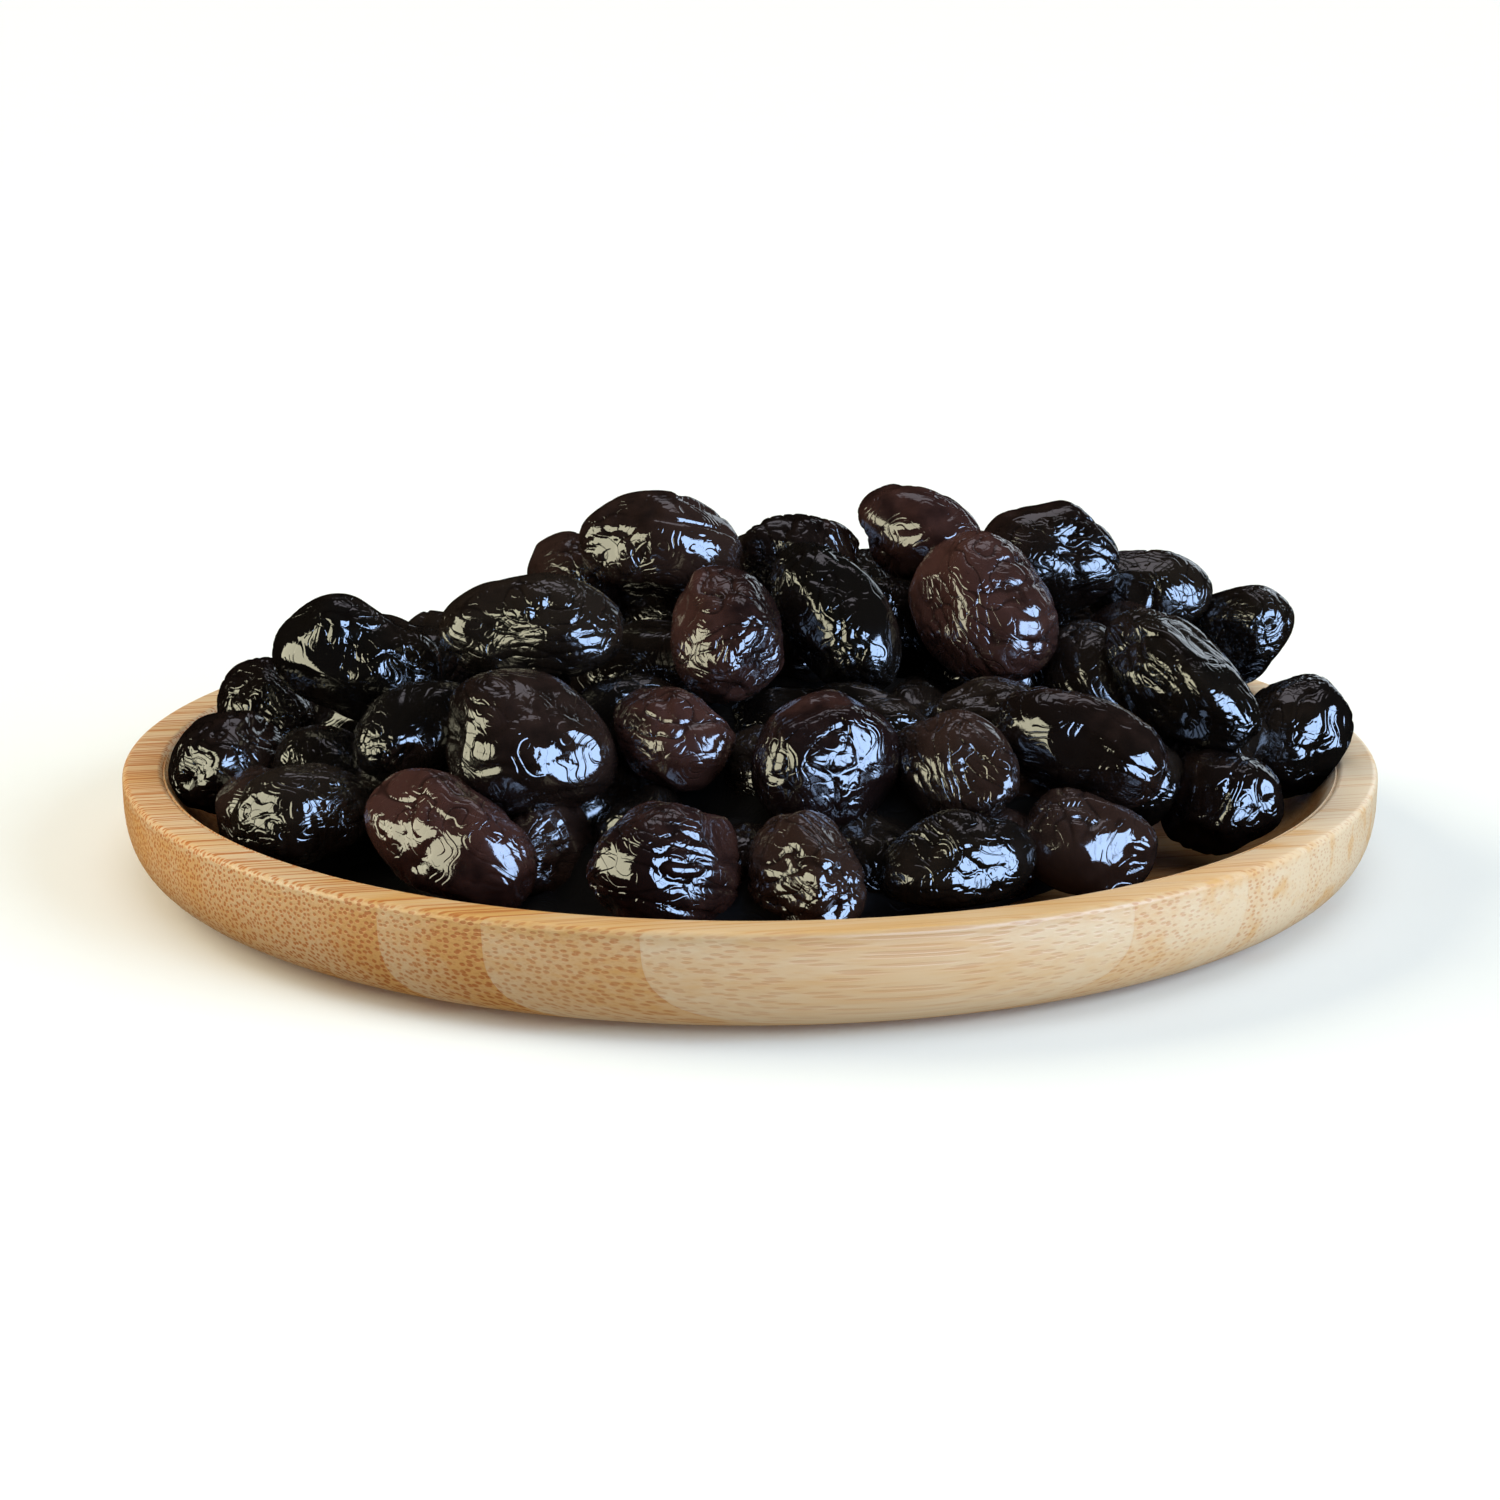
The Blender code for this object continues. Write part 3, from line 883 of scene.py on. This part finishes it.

# The olives that show from the front, placed one by one
FRONT_OLIVES = [
    (-72.5, -18, 17.5, 20, 15, 235, -10, HALF, UMBER),
    (-59.5, -40, 15.5, 20, 13.5, 12, 4, CREASED, JET),
    (-38.5, -55, 16, 26, 16, -35, -16, FOLDED, RUSSET),
    (-11, -64, 15.5, 21, 17.5, 200, -5, FOLDED, RUSSET),
    (7, -63, 15, 20, 14.5, -70, -10, HALF, UMBER),
    (26, -60, 15, 20.5, 13, 15, 4, CREASED, JET),
    (43, -52, 15, 19.5, 13, -10, -5, FOLDED, UMBER),
    (63.5, -33, 15, 18, 16, -50, 25, SMOOTH, UMBER),
    (78, -8, 18.5, 20.5, 15, 30, 55, CREASED, JET),
    (-45.5, -37, 26, 19, 13, 30, 18, CREASED, JET),
    (-28.5, -44, 26, 22.5, 20, 215, 15, HALF, UMBER),
    (-10, -42, 27, 18.5, 14, -20, -12, FOLDED, RUSSET),
    (10, -47, 25, 19.5, 17, 20, 12, HALF, RUSSET),
    (27, -47, 24, 18.5, 14.5, -50, -20, FOLDED, UMBER),
    (43, -43, 26, 23, 14.5, -20, -18, FOLDED, UMBER),
    (-55, -16, 32, 24.5, 17.5, -5, -10, HALF, JET),
    (-30.3, -25, 37.5, 25.5, 15, -5, -1, FOLDED, JET),
    (-3.4, -25.5, 37.5, 21, 17, -80, -35, HALF, RUSSET),
    (12, -19, 38, 26, 14.5, -50, -40, FOLDED, JET),
    (32.8, -14, 38, 24, 19, -60, -50, FOLDED, RUSSET),
    (59.5, -26, 30.5, 26, 14.5, -40, -30, FOLDED, JET),
    (-12.8, -6, 45, 23.5, 16, -5, -8, HALF, UMBER),
    (24.3, 2, 46.5, 20, 14.5, -25, -15, HALF, RUSSET),
    (7.2, 4, 42, 18, 13.5, 15, -5, HALF, UMBER),
    (43.5, 1, 42.5, 21, 16.5, -10, -5, FOLDED, UMBER),
    (-25.5, 7, 37.7, 19, 14, 100, 0, CREASED, UMBER),
    (-45, -3, 28.5, 20, 14, 80, 0, CREASED, JET),
    (72, 6, 30, 19, 14.5, -70, 20, CREASED, JET),
    (59, 7, 35.5, 18, 13.5, 170, 5, FOLDED, JET),
    (-71, 4, 19.5, 19, 14, 120, 5, CREASED, UMBER),
    (21, -2, 33.5, 20, 13.5, 60, -20, CREASED, JET),
    (47, -13, 28.5, 20, 13.5, -60, -35, HALF, JET),
    (55, -6, 29.5, 19, 13.5, -80, -20, CREASED, UMBER),
    (52, -31, 17.5, 19, 13.5, -80, 10, CREASED, JET),
    (-13.5, -47, 15.5, 18, 13, 85, 0, CREASED, JET),
]

# The olives of the layer below, which the gaps between those show
UNDER_OLIVES = [
    (-27, -50, 14, 17, 13, 60, 5),
    (-1.5, -53, 12.5, 17, 13, 90, -8),
    (16, -51, 13, 17, 13, 95, 10),
    (33, -47, 13, 17, 13, 90, -5),
    (-42, -25, 22, 20, 14, 160, 8),
    (-18, -30, 25, 19, 14, 0, 15),
    (2, -36, 20, 19, 14, 100, -10),
    (15, -31, 25, 20, 14, 160, 5),
    (33, -30, 25, 20, 14, 20, -12),
    (66, -18, 19, 19, 14, 60, 0),
    (-59, -24, 17, 19, 14, 100, 12),
]

# Those deepest at the dish's edge
DEEP_OLIVES = [
    (-67, -30, 13, 17, 13, 120, 0),
]


@dataclass(frozen=True)
class Heap:
    """The olives, heaped over the dish's rim: those listed one by one, and a rule for the rest."""

    dish: Dish
    seed: int = 7
    drops: int = 12000
    reach: float = 75.0
    girth: tuple[float, float] = (13.5, 16.5)
    length_per_girth: tuple[float, float] = (1.3, 1.55)
    steepest_rise: float = 18.0
    squeezes: tuple[float, ...] = (2.0, 2.0, 4.2)
    layers: tuple[tuple[float, float], ...] = ((0.0, 7.0), (7.0, 13.0), (7.0, 22.0))
    clear: float = 0.5
    crown_middle: tuple[float, float] = (12.0, -6.0)
    crown_radius: float = 86.0
    crown_foot: float = 14.5
    crown_rise: float = 30.0
    crown_power: float = 1.7
    front_eye: Vector3 = (0.0, -470.0, 137.0)
    front_rise: float = math.radians(14.55)
    behind: float = 4.0
    beside: float = 0.85
    skyline_turns: tuple[float, ...] = (45, 90, 135)
    below_skyline: float = 0.6
    under_seeds: int = 500
    lift: float = 1.0
    near_cuts: int = 35
    back_cuts: int = 25
    under_cuts: int = 15
    deep_cuts: int = 12
    most_faces: int = 95000

    def spine(self, place: tuple[float, ...]) -> np.ndarray:
        """Middles of the equal balls that stand for an olive.

        Args:
            place: Its middle, length, girth, heading and rise.

        Returns:
            Five points along it.
        """
        x, y, z, length, girth, heading, rise = place
        along = Olive(x, y, z, length, girth, heading, rise, 0, SMOOTH, JET).bearings()[0]
        return np.array([x, y, z]) + np.linspace(-1, 1, 5)[:, None] * along * (length - girth) / 2

    def from_front(self, points: np.ndarray) -> tuple[np.ndarray, np.ndarray, np.ndarray]:
        """Where points stand as seen from the front.

        Args:
            points: The points.

        Returns:
            How far right, how far up, and how far away they are.
        """
        way = points - np.array(self.front_eye)
        level, upright = math.cos(self.front_rise), math.sin(self.front_rise)
        far = way[..., 1] * level - way[..., 2] * upright
        return way[..., 0] / far, (way[..., 1] * upright + way[..., 2] * level) / far, far

    def crown(self, x: float, y: float) -> float:
        """Height of the middles of the outermost olives over a place on the dish."""
        away = math.hypot(x - self.crown_middle[0], y - self.crown_middle[1])
        fall = (away / self.crown_radius) ** self.crown_power
        return self.crown_foot + self.crown_rise * max(0.0, 1 - fall)

    def hidden(self, balls: np.ndarray, radius: float, front: np.ndarray,
               front_radii: np.ndarray) -> bool:
        """Whether an olive stays behind the placed ones and under their skyline.

        Args:
            balls: Middles of its balls.
            radius: Their radius.
            front: Middles of the placed olives' balls.
            front_radii: The placed olives' radii.

        Returns:
            True where it may stay.
        """
        right, up, far = (part.ravel() for part in self.from_front(front))
        wide = np.repeat(front_radii, balls.shape[0]) / far
        for r, u, d in zip(*self.from_front(balls)):
            near = np.hypot(right - r, up - u) < self.beside * (wide + radius / d)
            if np.any(far[near] > d - self.behind):
                return False
            for turn in self.skyline_turns:
                angle = math.radians(turn)
                edge = r + radius / d * math.cos(angle)
                top = u + (radius + self.below_skyline) / d * math.sin(angle)
                half = wide ** 2 - (right - edge) ** 2
                skyline = up + np.sqrt(np.maximum(half, 0.0))
                if not np.any(skyline > np.where(half > 0, top, np.inf)):
                    return False
        return True

    def places(self) -> list[list[tuple[float, ...]]]:
        """Where every olive lies.

        Returns:
            The places by layer: in plain sight, half hidden, and deep in the gaps.
        """
        rng = random.Random(self.seed)
        layers = [[row[:7] for row in FRONT_OLIVES], list(UNDER_OLIVES), list(DEEP_OLIVES)]
        spines = [self.spine(place) for layer in layers[:2] for place in layer]
        radii = [place[4] / 2 for layer in layers[:2] for place in layer]
        placed = len(FRONT_OLIVES)
        front, front_radii = np.array(spines[:placed]), np.array(radii[:placed])
        for drop in range(self.drops * len(self.layers)):
            depth = drop // self.drops
            highest, deepest = self.layers[depth]
            bearing, away = rng.uniform(0, math.tau), self.reach * math.sqrt(rng.random())
            x, y = away * math.cos(bearing), away * math.sin(bearing)
            girth = rng.uniform(*self.girth)
            length = girth * rng.uniform(*self.length_per_girth)
            heading = rng.uniform(0, 360)
            rise = rng.uniform(-self.steepest_rise, self.steepest_rise)
            top = self.crown(x, y) - highest
            z = max(self.dish.floor + self.clear + girth / 2, self.crown(x, y) - deepest)
            balls = self.spine((x, y, z, length, girth, heading, rise))
            reach = np.hypot(balls[:, 0], balls[:, 1]).max() + girth / 2
            if z > top or reach > self.dish.inside:
                continue
            lifts = np.arange(0.0, top - z + self.lift, self.lift)
            way = np.array(spines)[:, :, None] - balls
            level = way[..., 0] ** 2 + way[..., 1] ** 2
            apart = level + (way[..., 2] - lifts[:, None, None, None]) ** 2
            least = np.array(radii) + girth / 2 - self.squeezes[depth]
            free = np.all(apart.min(axis=(2, 3)) > least ** 2, axis=1)
            if not free.any():
                continue
            lifted = lifts[free.argmax()]
            z, balls = z + lifted, balls + np.array([0.0, 0.0, lifted])
            if self.hidden(balls, girth / 2, front, front_radii):
                layers[depth].append((x, y, float(z), length, girth, heading, rise))
                spines.append(balls)
                radii.append(girth / 2)
        return layers

    def olives(self) -> list[tuple[int, Olive]]:
        """Every olive of the heap.

        Returns:
            How finely each is divided, and the olive.
        """
        made = []
        rng = random.Random(self.seed + 1)
        for depth, layer in enumerate(self.places()):
            for number, place in enumerate(layer):
                if depth == 0 and number < len(FRONT_OLIVES):
                    skin, tone = FRONT_OLIVES[number][7:]
                    cuts = self.near_cuts
                else:
                    skin, tone = rng.choice(list(Skin)), rng.choice(list(Tone))
                    # Painted shade: the half-hidden and deep olives are never russet, so the gaps
                    # between the olives in sight stay dark
                    tone = JET if depth and tone is RUSSET else tone
                    cuts = (self.back_cuts, self.under_cuts, self.deep_cuts)[depth]
                made.append((cuts, Olive(*place, number + self.under_seeds * depth, skin, tone)))
        return made

    def ball(self, cuts: int) -> tuple[bpy.types.Object, np.ndarray]:
        """Model the ball that every olive of one fineness is copied from.

        Args:
            cuts: Cuts across each side of the cube that it starts as.

        Returns:
            The ball, and the unit directions of its points.
        """
        bpy.ops.object.select_all(action="DESELECT")
        bpy.ops.mesh.primitive_cube_add(size=2, location=(0, 0, 0))
        ball = bpy.context.object
        bpy.ops.object.mode_set(mode="EDIT")
        bpy.ops.mesh.select_all(action="SELECT")
        bpy.ops.mesh.subdivide(number_cuts=cuts)
        bpy.ops.object.mode_set(mode="OBJECT")
        bpy.ops.object.shade_smooth()
        points = np.empty(len(ball.data.vertices) * 3)
        ball.data.vertices.foreach_get("co", points)
        directions = np.tan(points.reshape(-1, 3) * math.pi / 4)
        return ball, directions / np.linalg.norm(directions, axis=1)[:, None]

    def build(self) -> list[tuple[bpy.types.Object, Tone]]:
        """Make the olives, joined by tone into pieces of a bearable size.

        Returns:
            The pieces and their tones.
        """
        finenesses = (self.near_cuts, self.back_cuts, self.under_cuts, self.deep_cuts)
        balls = {cuts: self.ball(cuts) for cuts in finenesses}
        groups: dict[Tone, list[list[bpy.types.Object]]] = {tone: [[]] for tone in Tone}
        for cuts, olive in self.olives():
            thing = olive.shape(*balls[cuts], self.dish)
            group = groups[olive.tone]
            faces = sum(len(other.data.polygons) for other in [*group[-1], thing])
            if faces > self.most_faces:
                group.append([])
            group[-1].append(thing)
        for ball, _ in balls.values():
            bpy.data.objects.remove(ball, do_unlink=True)
        pieces = []
        for tone, group in groups.items():
            for number, things in enumerate(group, 1):
                bpy.ops.object.select_all(action="DESELECT")
                for thing in things:
                    thing.select_set(True)
                bpy.context.view_layer.objects.active = things[0]
                bpy.ops.object.join()
                piece = bpy.context.object
                piece.name = piece.data.name = f"olives_{tone.name.lower()}_{number}"
                pieces.append((piece, tone))
                faces = len(piece.data.polygons)
                LOG.info("%s: %d olives, %d faces", piece.name, len(things), faces)
        return pieces


@dataclass(frozen=True)
class ShadeMound:
    """A matte near-black mound under the deepest olives: painted shade, standing in for the shadowed
    inside of the heap.
    """

    dish: Dish
    heap: Heap
    middle: tuple[float, float] = (-8.0, -2.0)
    radius: float = 64.0
    depth: float = 17.0
    lump: float = 2.0
    lump_rates: tuple[float, float] = (0.38, 0.41)
    lump_phase: float = 1.0
    floor_gap: float = 0.3
    least_height: float = 0.3
    segments: int = 96
    rings: int = 48

    def build(self) -> bpy.types.Object:
        """Press a ball into the mound under the olives.

        Returns:
            The near-black mound.
        """
        bpy.ops.object.select_all(action="DESELECT")
        bpy.ops.mesh.primitive_uv_sphere_add(segments=self.segments, ring_count=self.rings,
                                             radius=1, location=(0, 0, 0))
        shade_mound = bpy.context.object
        shade_mound.name = shade_mound.data.name = "heap_shade_mound"
        bpy.ops.object.shade_smooth()
        base = self.dish.floor + self.floor_gap
        for point in shade_mound.data.vertices:
            out = math.acos(max(-1.0, min(1.0, abs(point.co.z)))) / (math.pi / 2)
            bearing = math.atan2(point.co.y, point.co.x)
            x = self.middle[0] + self.radius * out * math.cos(bearing)
            y = self.middle[1] + self.radius * out * math.sin(bearing)
            wave = math.sin(x * self.lump_rates[0])
            wave *= math.sin(y * self.lump_rates[1] + self.lump_phase)
            mound = self.heap.crown(x, y) - self.depth + self.lump * wave
            top = max(mound, base + self.least_height)
            point.co = (x * MM, y * MM, (top if point.co.z > 0 else base) * MM)
        places = np.array([point.co[:] for point in shade_mound.data.vertices]) / MM
        Olive.carry(shade_mound.data, "skin", places)
        return shade_mound


# Suns light the surfaces: name, way from the dish, strength and colour
SUNS = [
    ("cool_side", (0.86, -0.42, 0.34), 2.9, (0.74, 0.89, 1.0)),
    ("warm_side", (-0.80, 0.35, 0.45), 2.6, (1.0, 0.87, 0.60)),
    ("above", (0.05, -0.20, 1.0), 0.68, (0.92, 0.98, 1.0)),
]

# Gloss alone mirrors the cards: name, way from the dish, distance, width and height, glow and colour
CARDS = [
    ("window_left_pane", (0.52, -0.84, 0.10), 1.0, (0.46, 0.86), 10.5, (0.45, 0.64, 1.0)),
    ("window_right_pane", (0.86, -0.51, 0.12), 1.0, (0.46, 0.86), 10.5, (0.45, 0.64, 1.0)),
    ("warm_card", (-0.84, -0.46, 0.14), 0.34, (0.38, 0.22), 4.1, (1.0, 0.95, 0.68)),
    ("back_card", (0.50, 0.82, 0.26), 1.0, (0.45, 0.50), 1.25, (0.80, 0.90, 1.0)),
    ("top_card", (0.10, 0.35, 1.0), 1.2, (0.7, 0.4), 0.7, (0.95, 0.90, 1.0)),
]


@dataclass(frozen=True)
class Studio:
    """The plain floor, the soft lights and the camera, in metres."""

    camera_place: Vector3 = (0.0, -0.4704, 0.1371)
    camera_tilt: float = 14.65
    lens: float = 80.1
    sensor: float = 36.0
    floor_size: float = 9.0
    floor_grain: float = 40.0
    floor_colours: tuple[Vector3, Vector3] = ((0.84, 0.90, 0.98), (0.86, 0.92, 1.0))
    floor_roughness: float = 0.7
    floor_gloss: float = 0.2
    room: Vector3 = (1.0, 0.90, 0.70)
    room_strength: float = 0.50
    target: float = 0.03
    softness: float = 45.0

    def floor(self) -> None:
        """Lay a plain pale floor."""
        bpy.ops.object.select_all(action="DESELECT")
        bpy.ops.mesh.primitive_plane_add(size=self.floor_size, location=(0, 0, 0))
        floor = bpy.context.object
        floor.name = "floor"
        finish = NodeFinish("pale_floor")
        place = finish.value("ShaderNodeTexCoord", None, None, "Object")
        colour = finish.mix(finish.noise(place, self.floor_grain), *self.floor_colours)
        finish.feed(finish.shader.inputs["Base Color"], colour)
        finish.shader.inputs["Roughness"].default_value = self.floor_roughness
        finish.shader.inputs["Specular IOR Level"].default_value = self.floor_gloss
        floor.data.materials.append(finish.material)
        floor.visible_glossy = floor.visible_diffuse = False

    def hang(self, data: bpy.types.Light, towards: Vector3, distance: float) -> bpy.types.Object:
        """Hang a light that faces the dish.

        Args:
            data: The light.
            towards: Direction from the dish to the light.
            distance: How far away it is.

        Returns:
            The light's object.
        """
        lamp = bpy.data.objects.new(data.name, data)
        bpy.context.scene.collection.objects.link(lamp)
        way = Vector(towards).normalized()
        lamp.location = way * distance + Vector((0.0, 0.0, self.target))
        lamp.rotation_euler = way.to_track_quat("Z", "Y").to_euler()
        return lamp

    def sun(self, name: str, towards: Vector3, strength: float, colour: Vector3) -> None:
        """Light the surfaces softly from one side.

        Args:
            name: The light's name.
            towards: Direction from the dish to the light.
            strength: How much light it sends.
            colour: Its colour.
        """
        data = bpy.data.lights.new(name, "SUN")
        data.angle, data.energy, data.color = math.radians(self.softness), strength, colour
        self.hang(data, towards, 1.0).visible_glossy = False

    def card(self, name: str, towards: Vector3, distance: float, size: tuple[float, float],
             glow: float, colour: Vector3) -> None:
        """Hang a bright card that only gloss mirrors.

        Args:
            name: The light's name.
            towards: Direction from the dish to the card.
            distance: How far away it is.
            size: Its width and height.
            glow: How bright its face is.
            colour: Its colour.
        """
        data = bpy.data.lights.new(name, "AREA")
        data.shape, data.size, data.size_y = "RECTANGLE", *size
        data.color, data.energy = colour, glow * 4 * size[0] * size[1]
        self.hang(data, towards, distance).visible_diffuse = False

    def light(self) -> None:
        """Set a pale room with soft suns, and the cards that gloss mirrors."""
        for row in SUNS:
            self.sun(*row)
        for row in CARDS:
            self.card(*row)
        world = bpy.data.worlds.new("pale_room")
        bpy.context.scene.world = world
        world.use_nodes = True
        back = world.node_tree.nodes["Background"]
        back.inputs["Color"].default_value = (*self.room, 1.0)
        back.inputs["Strength"].default_value = self.room_strength
        world.cycles_visibility.glossy = False
        bpy.context.scene.view_settings.view_transform = "Standard"

    def camera(self) -> None:
        """Put the camera where the dish is seen from the front, a little from above."""
        data = bpy.data.cameras.new("camera")
        data.lens, data.sensor_width = self.lens, self.sensor
        camera = bpy.data.objects.new("camera", data)
        camera.location = self.camera_place
        camera.rotation_euler = (math.radians(90 - self.camera_tilt), 0.0, 0.0)
        bpy.context.scene.collection.objects.link(camera)
        bpy.context.scene.camera = camera


def main() -> None:
    """Build the dish and its olives, then the studio round them."""
    logging.basicConfig(level=logging.INFO, format="%(message)s")
    bpy.ops.object.select_all(action="DESELECT")
    dish = Dish()
    turned = dish.build()
    turned.visible_glossy = False
    Bamboo().material().dress(turned, "bamboo")
    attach(turned, "root")
    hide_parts("dish")
    LOG.info("bamboo dish: %d faces", len(turned.data.polygons))
    heap = Heap(dish)
    skins = {tone: OliveSkin(tone).material() for tone in Tone}
    dressed = [(piece, skins[tone]) for piece, tone in heap.build()]
    # Painted shade: the mound under the olives takes a matte near-black skin
    dressed.append((ShadeMound(dish, heap).build(), OliveSkin(Tone.JET, "shade_mound", 0.6, 0.1).material()))
    for piece, finish in dressed:
        finish.dress(piece, "olive_skin")
        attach(piece, "root")
        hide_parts("olives")
    studio = Studio()
    studio.floor()
    studio.light()
    studio.camera()
    LOG.info("studio set")


if __name__ == "__main__":
    main()
